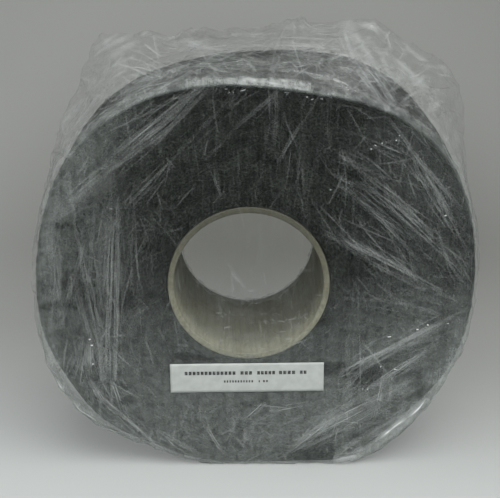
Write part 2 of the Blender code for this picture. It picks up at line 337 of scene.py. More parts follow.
def strandRadius(rng, count):  # tapered to both ends
    t = np.linspace(0, 1, strands["points"])
    body = rng.uniform(*strands["radius"], (count, 1)) * mm
    return body * (0.25 + 0.75 * np.sin(np.pi * t) ** 0.5)


def walk(heading, bend, length):
    # how far bent strands go along and aside, at each point: the heading turns by bend in all
    turn = heading[:, None] + bend[:, None] * np.linspace(-0.5, 0.5, strands["points"])
    step = (length / (strands["points"] - 1))[:, None]
    return np.cumsum(np.cos(turn), axis=1) * step, np.cumsum(np.sin(turn), axis=1) * step


def faceStrands(name, count, side, seed):
    # strands that lie on an end face: mostly round the roll, each one an arc
    rng = np.random.default_rng(seed)
    theta = rng.uniform(0, 2 * np.pi, count)
    r = np.sqrt(rng.uniform(0, 1, count) * (faceEdge(theta, side) ** 2 - coreRadius ** 2)
                + coreRadius ** 2)
    spread = np.where(rng.uniform(0, 1, count) < strands["follow"],
                      strands["followSpread"], strands["crossSpread"])
    heading = theta + np.pi / 2 + rng.normal(0, 1, count) * spread
    length = rng.uniform(*strands["faceLength"], count) * mm
    along, aside = walk(heading, rng.normal(0, 1, count) * 1.5 + 0.4, length)
    x, z = (r * np.cos(theta))[:, None] + along, (r * np.sin(theta))[:, None] + aside
    out, angle = np.hypot(x, z), np.arctan2(z, x)
    limit = faceEdge(angle, side) + 0.65 * roll["edgeRound"]
    shrink = np.clip(out, coreRadius + 0.7 * mm, limit) / out
    x, z, out = x * shrink, z * shrink, out * shrink
    over = np.clip((out - faceEdge(angle, side)) / roll["edgeRound"], 0, 1)
    back = roll["edgeRound"] * (1 - np.sqrt(1 - over ** 2))
    arch = np.sin(np.pi * np.linspace(0, 1, strands["points"])) ** 0.6
    lift = rng.uniform(*strands["faceLift"], (count, 1)) * mm * arch
    y = side * (woolHalf - woundDepth(x, z, side) - back + lift - 0.05 * mm)
    path = np.stack([x, y, z + axisHeight], axis=-1)
    path[..., 2] = np.maximum(path[..., 2], 0.6 * mm)
    up = np.zeros_like(path)
    up[..., 1] = side
    across = unit(np.cross(unit(np.gradient(path, axis=1)), up))
    return strandMesh(name, path, across, up, strandRadius(rng, count))


def outerStrands(name):
    # strands round the outer side, and springy loops that stand up from its two edges
    rng = np.random.default_rng(5)
    count, loops = strands["outer"], strands["edge"]
    total = count + loops
    theta = rng.uniform(-0.3, np.pi + 0.3, total)
    theta[: count // 2] = rng.uniform(np.pi - 0.4, 2 * np.pi + 0.4, count // 2)
    y = rng.uniform(-1, 1, total) * (woolHalf - 1.5 * mm)
    edgeSide = np.where(rng.uniform(0, 1, loops) < strands["frontLoops"], -1, 1)
    y[count:] = edgeSide * (woolHalf - rng.uniform(0.5, 5, loops) * mm)
    length = rng.uniform(*strands["sideLength"], total) * mm
    length[count:] = rng.uniform(*strands["loopLength"], loops) * mm
    spread, bent = np.where(np.arange(total)[:, None] < count,
                            strands["sideSpread"], strands["loopSpread"]).T
    heading, bend = rng.normal(0, 1, total) * spread, rng.normal(0, 1, total) * bent
    along, aside = walk(heading, bend, length)
    angle = theta[:, None] + along / outline(theta)[:, None]
    y = np.clip(y[:, None] + aside, -woolHalf - 0.3 * mm, woolHalf + 0.3 * mm)
    e = roll["edgeRound"]
    over = np.clip((np.abs(y) - (woolHalf - e)) / e, 0, 1)
    inset = e * (1 - np.sqrt(1 - over ** 2))
    top = ease((np.sin(angle) - 0.25) / 0.4)   # the loops have room only under the loose film
    rise = rng.uniform(*strands["sideLift"], (total, 1)) * mm
    rise[count:] += rng.uniform(*strands["loopLift"], (loops, 1)) * mm
    rise = rise * (0.25 + 0.75 * top) * np.sin(np.pi * np.linspace(0, 1, strands["points"])) ** 0.7
    out = woolOutline(angle, y) - inset - 0.5 * mm + np.minimum(rise, 0.9 * mm + 6 * mm * top)
    path = around(angle, out, y)
    path[..., 2] = np.maximum(path[..., 2], 0.6 * mm)
    along = unit(np.gradient(path, axis=1))
    up = np.stack([np.cos(angle), 0 * angle, np.sin(angle)], axis=-1)
    across = unit(np.cross(along, up))
    return strandMesh(name, path, across, np.cross(across, along), strandRadius(rng, total))


def steelWoolMaterial():
    # matted fine steel wool: dark where light sinks between the fibres, with grey metal streaks
    made, tree, shader = newMaterial("matted steel wool, shaved wire")
    place = add(tree, "TexCoord", out="Object")
    streak = add(tree, "Mapping", {"Vector": place, "Scale": (1, 2.2, 1)})
    fine = grain(tree, streak, 640.0, 5.0, 0.72, 0.40, 0.62)               # 1.6 mm clumps of fibre
    level = grain(tree, place, 16.0, 2.0, 0.5, 0.3, 0.7, 0.16)             # slow change over 60 mm
    level = grain(tree, place, 110.0, 3.0, 0.6, 0.35, 0.68, 0.30, level)   # 9 mm clumps
    level = add(tree, "Math", (fine, 0.54, level), operation="MULTIPLY_ADD")
    tone = add(tree, "ValToRGB", (level,))
    stops = tone.node.color_ramp.elements
    stops[0].position, stops[1].position = 0.08, 0.92
    stops.new(0.5)
    for stop, colour in zip(stops, ("#0a0d0a", "#161a15", "#393e37")):
        stop.color = linear(colour)
    polish = add(tree, "MapRange", (fine, 0.0, 1.0, 0.62, 0.40), **smooth)
    bump = add(tree, "Bump", {"Strength": 0.9, "Distance": 0.0009, "Height": level})
    feed(shader, {"Base Color": tone, "Metallic": 0.55, "Roughness": polish, "Normal": bump})
    return made


def strandMaterial():
    # single shaved steel fibres: bright drawn metal with a rough edge
    made, tree, shader = newMaterial("steel fibre, shaved wire")
    tone = add(tree, "Attribute", out="Fac", attribute_name="tone")
    tone = add(tree, "Mix", {0: tone, 6: "#181c17", 7: "#4d524b"}, **colours)
    feed(shader, {"Base Color": tone, "Metallic": 0.45, "Roughness": 0.5})
    return made


woolFinish, strandFinish = steelWoolMaterial(), strandMaterial()
woolPieces = [makeWool()]
woolPieces[0].data.materials.append(woolFinish)
for made in (faceStrands("frontStrands", strands["front"], -1, 3),
             faceStrands("backStrands", strands["back"], 1, 4), outerStrands("outerStrands")):
    made.data.materials.append(strandFinish)
    woolPieces.append(made)
for made in woolPieces:
    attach(made, "root")
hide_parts("steel_wool_roll")
print("steel wool done")


# Clear film wrap

film = {
    "gauge": 0.08 * mm, "slack": 0.9 * mm, "seamHeight": 0.020, "seamSharpness": 0.8,
    "tuck": 0.014, "cols": 480, "rows": (92, 9, 46, 9, 30, 10),
    "pleats": 21, "pleatHeight": 0.0026, "sway": 0.005,
    # heights in millimetres of wide and small crumples, and of the waves where the film is loose:
    # those that run straight across, fine gathers and soft dents
    "frontCrumples": (1.0, 0.45), "rimCrumples": (1.2, 0.8), "backCrumples": (0.9, 0.5),
    "looseWaves": (2.2, 1.5, 2.6),
    # loose lobes: angle from +X in degrees, height, half width in degrees
    "lobes": ((12, 0.002, 12), (46, 0.012, 9), (64, 0.014, 8), (79, 0.004, 7), (104, 0.002, 7),
              (120, 0.019, 8), (142, 0.002, 7), (230, 0.006, 15), (308, 0.010, 13)),
    # broad folds of the front: start and end across and above the axis, height, half width
    "folds": (
        (-0.008, 0.134, -0.134, 0.036, 0.0045, 0.009), (0.024, 0.132, -0.084, 0.050, 0.0035, 0.008),
        (0.050, 0.100, 0.146, 0.000, 0.0045, 0.009), (0.056, 0.072, 0.128, 0.026, 0.0030, 0.008),
        (0.058, 0.040, 0.110, -0.004, 0.0030, 0.008), (-0.100, 0.090, -0.104, -0.090, 0.0035, 0.009),
        (-0.124, 0.010, -0.116, -0.076, 0.0030, 0.008), (0.146, -0.020, 0.066, -0.068, 0.0040, 0.009),
        (0.130, -0.070, 0.022, -0.124, 0.0035, 0.009)),
    # how cloudy it is, as a share from 0 to 1 for each place. The low share is also a painted reflection
    # of the pale floor, and the low rim's share painted light on film that faces down
    "hazeAndPaintedLight": {"least": 0.015, "low": 0.28, "lean": 0.07, "left": 0.13, "right": 0.075,
             "lowRim": 0.12, "side": 0.105, "above": 0.25, "below": 0.40, "band": 0.14, "back": 0.09},
}
filmGap = film["gauge"] + film["slack"]
filmHalf = woolHalf + filmGap
filmRound = roll["edgeRound"] + filmGap
labelDrop = axisHeight - (labelLow.z + labelHigh.z) / 2


def filmStand(theta):
    # how far the film stands off the ribbon at mid width: the seam's rise and a bump for each lobe
    degrees = np.mod(np.degrees(theta), 360)
    seam = film["seamHeight"] * ease((degrees - 12) / 36) * ease((175 - degrees) / 60)
    return seam + bumps(theta, film["lobes"])


def nearLabel(x, z):  # 0 on the smooth place round the label, 1 well away from it
    pastX = (np.abs(x) - (labelHigh.x - labelLow.x) / 2) / (7 * mm)
    pastZ = (np.abs(z + labelDrop) - (labelHigh.z - labelLow.z) / 2) / (7 * mm)
    return ease(np.maximum(pastX, pastZ) - 1)


def foldHeight(x, z):
    # the broad folds: a rounded ridge along each line, let down at both ends and near the label
    height = 0 * x
    for x0, z0, x1, z1, tall, wide in film["folds"]:
        dx, dz = x1 - x0, z1 - z0
        length = math.hypot(dx, dz)
        along = ((x - x0) * dx + (z - z0) * dz) / length ** 2
        away = np.abs(((x - x0) * dz - (z - z0) * dx) / length) / wide
        ends = ease(along * 6) * ease((1 - along) * 6)
        height = np.maximum(height, tall * ends * np.exp(-away ** 1.6))
    return height * nearLabel(x, z)


def smoothFilm(theta, s):
    # a point of the film before it is crumpled, the way it faces, how far it lies inside the edge,
    # and how slack it is. s runs 0 to 1 up the front, 1 to 2 round the front edge, 2 to 3 across
    # the side, 3 to 4 round the back edge, 4 to 5 down the back and 5 to 6 over the core's rim
    # into its bore
    e, half, stand = filmRound, filmHalf, filmStand(theta)
    turn = np.pi / 2 * np.where(s < 2.5, np.clip(s - 1, 0, 1), np.clip(4 - s, 0, 1))
    across = np.clip(s - 2, 0, 1)
    y = np.where(across <= 0, -(half - e * (1 - np.cos(turn))),
                 np.where(across >= 1, half - e * (1 - np.cos(turn)), (2 * across - 1) * (half - e)))
    edge = outline(theta, y, filmGap, 0.0) - e
    loose = stand * (1 - np.abs(y / half) ** film["seamSharpness"])
    out = edge + loose + e * np.sin(turn)
    out = np.where(s < 1, edge * s, out)
    down = np.clip(s - 4, 0, 1)
    out = np.where(s > 4, edge + (coreRadius - edge) * down, out)
    wave = np.abs(np.sin(theta * film["pleats"] / 2 + 0.5 * np.sin(3 * theta)))
    fine = np.abs(np.sin(theta * film["pleats"] * 1.5 + 1.1 * np.sin(5 * theta + 1)))
    pleat = film["pleatHeight"] * (0.75 * (1 - wave) + 0.35 * (1 - fine)) * ease(down * 1.1)
    y = np.where(s > 4, half + pleat, y)
    tuck = np.clip(s - 5, 0, 1)
    inner = boreRadius - filmGap - 0.6 * pleat
    bend = ease(tuck / 0.35)
    out = np.where(s > 5, coreRadius + (inner - coreRadius) * bend, out)
    y = np.where(s > 5, half + pleat * (1 - bend) - film["tuck"] * ease((tuck - 0.15) / 0.85), y)
    side = np.where(s < 2.5, -1, 1)
    faceY = np.where(s > 5, np.cos(np.pi / 2 * bend), side * np.cos(turn))
    faceOut = np.where(s > 5, -np.sin(np.pi / 2 * bend), np.sin(turn))
    facing = np.stack([faceOut * np.cos(theta), faceY, faceOut * np.sin(theta)], axis=-1)
    slack = loose / np.maximum(stand, 1e-6) * np.clip(stand / 0.02, 0, 1)
    return around(theta, out, y), facing, edge - out, slack


def filmPlace(theta, s):
    # a point of the film and the way it faces. Its crumples stand outward only, small on the tight
    # front and larger where the film is loose
    theta, s = np.broadcast_arrays(theta, s)
    place, facing, inside, slack = smoothFilm(theta, s)
    x, z = place[..., 0], place[..., 2] - axisHeight
    front, rim = (s < 1).astype(float), ease((s - 0.97) * 4) * ease((4.6 - s) * 2.5)
    back, up = ease((s - 4) * 4) * ease((5.3 - s) * 3), ease((np.sin(theta) - 0.15) / 0.5)
    right, left = ease((x - 0.03) / 0.06) * ease((z + 0.10) / 0.08), ease((-x - 0.07) / 0.04)
    crumples = mm * np.stack([creased(place, (0.022, 0.03, 0.022), 51),
                              creased(place, (0.008, 0.010, 0.008), 57)], axis=-1)
    arc, none = theta * roll["radius"], 0 * theta
    ring = np.stack([arc, none, none], axis=-1)
    gather = np.stack([arc, none, place[..., 1] / 8], axis=-1)
    waves = mm * np.stack([noise(ring, 0.019, 61) + 0.6 * noise(ring, 0.0075, 62),
                           noise(gather, 0.0045, 63), noise(place, 0.016, 64)], axis=-1)
    rise = front * nearLabel(x, z) * (0.25 + 0.8 * right + 0.7 * left) * (
        crumples @ film["frontCrumples"])
    rise = rise + front * foldHeight(x, z) * ease(inside / filmRound + 0.35)
    rise = rise + rim * (0.5 * mm + crumples @ film["rimCrumples"])
    rise = rise + slack * (waves @ film["looseWaves"]) * (0.4 + 0.9 * up)
    rise = np.maximum(rise + back * (crumples @ film["backCrumples"]), 0)
    place = place + facing * rise[..., None]
    place[..., 1] = place[..., 1] + slack * up * film["sway"] * noise(ring, 0.035, 66)
    place[..., 2] = np.maximum(place[..., 2], 0.15 * mm)
    return place, facing


def filmRows():  # the places s of the film's rows: so many for each of its six parts
    rows = []
    for part, count in enumerate(film["rows"]):
        t = np.linspace(0, 1, count + 1)[1:]
        rows.append(part + (t * 0.985 + 0.015 if part == 0 else t))
    return np.concatenate(rows)


def filmHazeAndPaintedLight(place, s):
    # how cloudy the film is, with painted light in it: clear over the upper middle, cloudier below, at
    # the left and right and along its low rim, where the paleness below is also a painted reflection of
    # the pale floor and the low rim, which faces down, is painted lighter. Over the side it is cloudiest at
    # the front edge, above and below, where it lies doubled
    hazeAndPaintedLight = film["hazeAndPaintedLight"]
    x, z = place[..., 0], place[..., 2] - axisHeight
    low = ease((-z + 0.03) / 0.13)
    left, right = ease((-x - 0.05) / 0.07), ease((x - 0.05) / 0.07)
    rim, lowRim = ease((s - 0.84) / 0.14), ease((s - 0.94) / 0.06) * ease(-z / 0.05)
    # below the axis the film is cloudier and painted paler, as a painted reflection of the pale floor
    front = hazeAndPaintedLight["least"] + (hazeAndPaintedLight["low"] + hazeAndPaintedLight["lean"] * (right - left)) * low
    front = front + (hazeAndPaintedLight["left"] * (left + rim * left) + hazeAndPaintedLight["right"] * right) * (1 - low)
    # painted light along the low rim, which faces down
    front = front + hazeAndPaintedLight["lowRim"] * lowRim * ease((np.abs(x) - 0.06) / 0.04)
    flank = ease((np.abs(x) - 0.05) / 0.05)
    above = hazeAndPaintedLight["above"] * ease(z / 0.08) * (1 - (0.48 + 0.14 * (x > 0)) * flank)
    edge = (above + hazeAndPaintedLight["below"] * ease(-z / 0.06)) * ease((2.34 - s) / 0.26)
    band = hazeAndPaintedLight["band"] * ease(z / 0.08) * ease((2.0 - s) / 0.2)
    side = hazeAndPaintedLight["side"] * (1 - flank / 3) + band + hazeAndPaintedLight["back"] * ease((s - 3.0) / 0.6) + edge
    over = ease((s - 1.05) / 0.35)
    return front * (1 - over) + over * side


def makeFilm():
    # one sheet: from the middle of the front, over the rim and back into the core's rear end
    theta = np.arange(film["cols"]) * 2 * np.pi / film["cols"]
    s = filmRows()
    place, _ = filmPlace(theta[None, :], s[:, None])
    cols = film["cols"]
    middle = np.array([[0, place[0, :, 1].mean(), axisHeight]])
    points = np.concatenate([place.reshape(-1, 3), middle])
    here = np.arange(cols)
    fan = np.stack([np.full(cols, len(s) * cols), here, (here + 1) % cols], axis=-1)
    made = putMesh("filmWrap", points, gridFaces(len(s), cols), fan)
    hazeAndPaintedLight = np.append(filmHazeAndPaintedLight(place, np.broadcast_to(s[:, None], place.shape[:2])).ravel(), 0.05)
    pointData(made, "hazeAndPaintedLight", hazeAndPaintedLight)
    theta, s = np.broadcast_arrays(theta[None, :], s[:, None])
    loose = ease((s - 1.1) / 0.9) * ease((4.2 - s) / 0.8) * ease((np.sin(theta) + 0.2) / 0.5)
    pointData(made, "loose", np.append(loose.ravel(), 0))
    # the way along the film: round the roll from under it, across its width, and out from the axis
    arc = roll["radius"] * np.mod(theta + np.pi / 2, 2 * np.pi)
    out = np.hypot(place[..., 0], place[..., 2] - axisHeight)
    way = np.stack([arc, place[..., 1], out], axis=-1).reshape(-1, 3)
    pointData(made, "way", np.concatenate([way, [[0, -filmHalf, 0]]]), "FLOAT_VECTOR", "vector")
    return made


# Creases in the film: narrow ridges with two crests, whiter where folded and painted bright as
# highlights, laid on the film's own surface

eye = Vector((-0.01105, -0.7373, 0.4062))   # the standpoint from which the lines below are given

creases = {
    "longPoints": 34, "shortPoints": 12, "roundPoints": 20,   # points along a crease of each kind
    "tall": 0.6,   # how far the widest main creases stand up, in millimetres
    # half widths in millimetres and strengths: least and most
    "widths": {"main": (1.1, 2.2), "beside": (0.7, 1.2), "bundle": (0.7, 1.3), "wisp": (1.2, 3.2),
               "stroke": (0.8, 1.6), "round": (0.8, 2.4)},
    "strengths": {"main": (0.3, 0.65), "beside": (0.15, 0.5), "bundle": (0.2, 0.65),
                  "wisp": (0.06, 0.18), "glint": (1.9, 2.8), "round": (0.25, 1.0)},
    # how many there are in places that the front doesn't show
    "overSide": 200, "downBack": 180, "overBack": 60,
    # they are painted brighter below the axis, where less light falls on the upright film, and show less
    # over a stripe of the upper middle
    "lowReach": 0.08, "lowGain": 1.1, "clearWide": 0.055, "clearDim": 0.45,
    # straight lines: start and end across and above the axis in millimetres, against the front
    "lines": (
        (-10, 158, -74, 94), (-74, 94, -133, 44), (-14, 150, -83, 84), (-19, 139, -91, 80),
        (-27, 135, -104, 76), (1, 136, -44, 93), (-44, 93, -81, 54), (21, 135, -11, 106),
        (-11, 106, -28, 87), (-30, 145, -95, 109), (-56, 140, -109, 101), (48, 134, 34, 111),
        (34, 111, 19, 86), (13, 151, 16, 94), (54, 94, 126, 35), (126, 35, 149, -4),
        (53, 78, 86, 63), (86, 63, 127, 28), (48, 46, 101, 4), (101, 4, 143, -11),
        (100, 100, 148, 18), (57, 90, 82, 77), (59, 70, 114, 17), (75, 93, 96, 101),
        (48, 36, 91, 17), (90, 113, 140, 53), (143, -20, 104, -44), (104, -44, 63, -66),
        (126, -71, 22, -129), (146, -24, 53, -79), (94, -63, 87, -105), (71, -3, 72, -86),
        (141, -33, 85, -49), (55, -10, 140, -27), (98, -44, 36, -109), (-88, 88, -99, -84),
        (-85, 61, -92, -69), (-116, 5, -105, -46), (-105, -46, -99, -76), (-108, 33, -128, -31),
        (-98, 68, -108, -9), (-123, 26, -129, -31), (-121, 88, -132, 20), (-74, 61, -74, -31),
        (119, 148, 125, 141), (130, 121, 136, 108), (77, 175, 81, 170), (90, 165, 99, 154),
        (-66, 152, -12, 161), (-61, 158, 51, 156), (-81, 130, -30, 152), (-100, 127, -86, 152),
        (32, 161, 60, 151), (16, -137, 78, -82), (78, -82, 138, -40), (58, -134, 86, -110),
        (86, -110, 118, -93), (-109, -76, -56, -131), (-95, -69, -89, -91), (-65, -108, -35, -128),
        (-30, -105, -16, -130), (-10, -91, -2, -107), (-2, -107, -4, -125), (-114, -36, -121, -68),
        (-100, -36, -102, -67), (-102, -67, -111, -91), (-108, -36, -111, -66), (-111, -66, -101, -88),
        (-14, 16, -2, -3), (-12, 10, -6, 2)),
    # bundles of fine lines with soft wisps among them: the same four numbers, the bundle's
    # width, how many lines, how many wisps
    "bundles": (
        (58, 174, 66, 150, 9, 8, 4), (64, 156, 90, 119, 10, 14, 5), (81, 152, 107, 131, 8, 9, 6),
        (63, 164, 93, 126, 6, 6, 2), (-14, 150, -91, 82, 9, 7, 3), (-74, 96, -133, 44, 8, 6, 3),
        (-86, 80, -99, -84, 8, 7, 4), (143, -22, 63, -67, 5, 6, 2), (54, 92, 147, 5, 6, 5, 1),
        (124, -68, 22, -128, 8, 8, 5), (100, 100, 148, 18, 7, 5, 2), (48, 44, 143, -11, 12, 7, 2),
        (56, 70, 120, 22, 9, 6, 2), (-67, 166, -8, 154, 7, 6, 5), (-108, 150, -66, 172, 12, 6, 5),
        (-124, 98, -88, 142, 9, 8, 5), (-96, 122, -20, 158, 8, 7, 4), (0, 160, 62, 158, 8, 6, 2),
        (-132, 60, -128, -30, 9, 6, 3), (-112, 60, -92, -60, 16, 7, 4), (118, 128, 146, 70, 9, 5, 3),
        (16, -137, 78, -82, 7, 6, 5), (78, -82, 138, -40, 6, 6, 3), (58, -134, 120, -90, 7, 5, 4),
        (-108, -36, -111, -66, 6, 5, 4), (-111, -66, -101, -88, 6, 4, 3), (-109, -76, -56, -131, 4, 3, 1)),
    # wisps where the film hangs loose: angle and its spread in degrees, place s on the film and
    # its spread, spread of the heading off the way round, how many, mean length, strength
    "loose": (
        (124, 12, 2.22, 0.12, 28, 130, 18, 0.62), (143, 9, 2.12, 0.10, 22, 80, 16, 0.62),
        (103, 12, 2.25, 0.14, 16, 90, 24, 0.70), (80, 12, 2.25, 0.14, 16, 90, 22, 0.70),
        (62, 10, 2.20, 0.14, 36, 130, 18, 0.50), (42, 10, 2.20, 0.12, 36, 100, 16, 0.42),
        (20, 10, 2.12, 0.08, 25, 40, 16, 0.35), (164, 9, 2.05, 0.06, 15, 40, 16, 0.40),
        (225, 9, 1.80, 0.25, 6, 30, 26, 0.75), (313, 8, 1.80, 0.25, 6, 34, 24, 0.75),
        (300, 8, 2.05, 0.10, 12, 20, 20, 0.50), (90, 26, 2.14, 0.07, 60, 260, 7, 0.50),
        (40, 14, 2.12, 0.08, 60, 130, 7, 0.45), (138, 14, 2.12, 0.08, 60, 120, 7, 0.45)),
    # tiny painted glints, bright white flecks: start and end of the line that they lie along, and how many
    "glints": (
        (-36, 133, 8, 133, 7), (8, 133, 56, 126, 9), (76, 95, 96, 102, 6), (-116, 56, -86, 55, 2),
        (126, 48, 130, 40, 2), (90, -40, 140, -26, 5), (30, -84, 84, -76, 4), (92, -60, 128, -70, 3),
        (-112, -36, -100, -80, 3), (53, 66, 56, 67, 1), (64, -105, 30, -120, 1)),
    # thick wisps, where the film is folded on itself several times, and along the low rim painted light on
    # film that faces down: the same four numbers, half width, strength
    "patches": (
        (60, 178, 70, 161, 5.5, 0.55), (66, 168, 93, 122, 4.5, 0.50), (72, 166, 88, 140, 3.5, 0.45),
        (83, 156, 114, 132, 5.0, 0.68), (56, 176, 66, 152, 3.0, 0.45), (-50, 175, -34, 170, 3.0, 0.60),
        (-52, 165, -22, 160, 3.0, 0.50), (-94, 150, -68, 164, 3.0, 0.35), (-128, 110, -115, 92, 4.0, 0.45),
        (-122, 112, -104, 126, 3.0, 0.35), (136, 134, 142, 107, 3.0, 0.30), (20, 165, 58, 163, 2.0, 0.50),
        (-112, 148, -100, 160, 4.0, 0.35), (96, 162, 112, 150, 3.0, 0.35), (104, 150, 124, 146, 2.5, 0.35),
        (-133, -67, -124, -89, 3.0, 0.9), (-125, -87, -111, -105, 3.5, 1.0),
        (-112, -104, -90, -121, 3.0, 0.8), (124, -84, 111, -101, 3.5, 1.0),
        (112, -100, 92, -117, 3.5, 1.0), (93, -116, 72, -129, 2.5, 0.7), (60, -134, 88, -128, 4.0, 0.5)),
    # scattered strokes: middle, spread across and up, heading and its spread in degrees,
    # how many, mean length
    "scatter": (
        (-118, 75, 14, 45, 75, 40, 46, 20), (-100, 0, 30, 70, 85, 25, 44, 36),
        (-60, 130, 40, 18, 25, 30, 44, 26), (100, 90, 30, 35, 130, 35, 54, 22),
        (110, 10, 30, 45, 145, 30, 60, 30), (90, -60, 45, 35, 30, 30, 42, 30),
        (60, 150, 50, 14, 10, 40, 40, 18), (0, -100, 80, 25, 110, 40, 34, 24),
        (-60, 20, 30, 60, 88, 20, 26, 40), (30, 70, 40, 30, 90, 20, 24, 34),
        (-117, 98, 9, 9, 60, 60, 34, 10), (94, 142, 12, 10, 135, 25, 20, 12),
        (70, 60, 50, 50, 120, 60, 50, 16), (-20, -95, 90, 30, 60, 60, 50, 16),
        (-92, 140, 22, 24, 35, 50, 50, 16), (110, 125, 22, 30, 120, 50, 50, 14),
        (0, 163, 60, 9, 5, 30, 40, 22), (130, 60, 14, 40, 105, 30, 30, 18),
        (10, 85, 60, 30, 92, 10, 60, 34), (90, 40, 40, 70, 135, 14, 90, 46),
        (-95, -50, 36, 60, 95, 28, 110, 30), (60, -90, 60, 45, 35, 22, 110, 34),
        (-70, 60, 50, 60, 70, 40, 90, 26), (-10, -110, 60, 20, 100, 30, 60, 22),
        (-112, 66, 24, 44, 40, 45, 110, 15), (-102, -66, 30, 40, 65, 50, 80, 16),
        (20, -112, 90, 26, 60, 60, 90, 14), (96, 20, 50, 60, 140, 30, 80, 18),
        (-30, 137, 70, 6, 70, 30, 120, 7), (60, 128, 40, 8, 110, 35, 70, 8),
        (6, -22, 34, 22, 2, 12, 90, 6), (0, -20, 44, 24, 92, 6, 40, 14), (40, -28, 12, 14, 25, 35, 40, 8)),
}


def beside(line, a, b, off, tilt):
    # the piece of a line from share a to share b, moved sideways by off and turned by tilt
    start, run = np.array(line[:2]), np.subtract(line[2:], line[:2])
    side = np.array([-run[1], run[0]]) / np.hypot(*run)
    return (*(start + run * a + side * off), *(start + run * b + side * (off + tilt)))


def creaseLines():
    # every line as start, end, bow, half width, strength: the listed ones with fainter
    # neighbours beside them, the bundles and the scattered strokes
    rng = np.random.default_rng(12)
    main, fine, strokes, wisps = [], [], [], []
    widths, strengths = creases["widths"], creases["strengths"]

    def put(line, strength, width, into):
        length = math.hypot(line[2] - line[0], line[3] - line[1])
        into.append((*line, rng.normal(0, 0.03) * length, width, strength))

    for line in creases["lines"]:
        put(line, rng.uniform(*strengths["main"]), rng.uniform(*widths["main"]), main)
        for _ in range(3 if math.hypot(line[2] - line[0], line[3] - line[1]) > 30 else 1):
            off, a, b = rng.normal(0, 4), rng.uniform(0, 0.4), rng.uniform(0.6, 1.1)
            near = beside(line, a, b, off, rng.normal(0, 2.5))
            put(near, rng.uniform(*strengths["beside"]), rng.uniform(*widths["beside"]), fine)
    for *line, across, count, soft in creases["bundles"]:
        for k in range(count + soft):
            off, tilt = rng.uniform(-0.5, 0.5, 2) * across
            near = beside(line, rng.uniform(0, 0.4), rng.uniform(0.6, 1.05), off, 0.4 * tilt)
            strength, width = rng.uniform(*strengths["bundle"]), rng.uniform(*widths["bundle"])
            if k >= count:
                strength, width = rng.uniform(*strengths["wisp"]), rng.uniform(*widths["wisp"])
            put(near, strength, width, wisps if k >= count else fine)
    for *line, width, strength in creases["patches"]:
        put(line, strength, width, wisps)
    for x, z, spreadX, spreadZ, heading, turn, count, length in creases["scatter"]:
        for _ in range(count):
            a = math.radians(rng.normal(heading, turn))
            half = length * rng.uniform(0.3, 1.0) / 2
            cx, cz = x + rng.normal(0, 0.6) * spreadX, z + rng.normal(0, 0.6) * spreadZ
            dx, dz = half * math.cos(a), half * math.sin(a)
            strength = 0.06 + 0.5 * rng.uniform() ** 3   # mostly faint
            stroke = (cx - dx, cz - dz, cx + dx, cz + dz)
            put(stroke, strength, rng.uniform(*widths["stroke"]), strokes)
    for x0, z0, x1, z1, count in creases["glints"]:
        for share in rng.uniform(0, 1, count):
            x = x0 + (x1 - x0) * share + rng.normal(0, 1.2)
            z = z0 + (z1 - z0) * share + rng.normal(0, 1.2)
            fleck = (x, z, x + rng.normal(0, 1.4), z + rng.normal(0, 0.8))
            put(fleck, rng.uniform(*strengths["glint"]), 0.9, strokes)
    return [np.array(lines) for lines in (main, fine, strokes, wisps)]


def onFilm(tree, lines, n):
    # lays each line on the film: a ray from the standpoint through every point of it
    t = np.linspace(0, 1, n)
    places, facings, kept = [], [], []
    for row, (x0, z0, x1, z1, bend, wide, strength) in enumerate(lines):
        length = math.hypot(x1 - x0, z1 - z0) or 1.0
        bow = bend * np.sin(np.pi * t) + 0.3 * np.sin(t * length / 9 + row)
        x = x0 + (x1 - x0) * t - (z1 - z0) / length * bow
        z = z0 + (z1 - z0) * t + (x1 - x0) / length * bow
        run, best = [], []
        for across, above in zip(x * mm, z * mm):
            if nearLabel(across, above) < 0.05:
                hit = None
            else:
                aim = Vector((across, -filmHalf, axisHeight + above)) - eye
                hit, normal, _, _ = tree.ray_cast(eye, aim)
            if hit is None:
                run = []
            else:
                run.append((*hit, *normal))
                best = run if len(run) > len(best) else best
        if len(best) < n / 4:
            continue
        found = np.array(best)
        at = np.linspace(0, len(found) - 1, n)
        found = np.stack([np.interp(at, np.arange(len(found)), found[:, k]) for k in range(6)], 1)
        relax(found, 2)
        places.append(found[:, :3])
        facings.append(found[:, 3:])
        kept.append((wide, strength))
    return np.array(places), unit(np.array(facings)), *np.array(kept).T


# the brightness is the folded film's whiteness and a painted highlight on each crest
profiles = {   # across a crease: place, height, brightness
    "pair": ((-1, -0.62, -0.45, -0.28, 0, 0.28, 0.45, 0.62, 1), (0, 0.4, 1, 0.5, 0.3, 0.5, 1, 0.4, 0),
             (0, 0.14, 0.9, 0.38, 0.28, 0.38, 0.9, 0.14, 0)),
    "soft": ((-1, -0.5, 0, 0.5, 1), (0, 0.5, 1, 0.5, 0), (0, 0.55, 1, 0.55, 0)),
    "single": ((-0.55, 0, 0.55), (0, 1, 0), (0, 1, 0)),
}


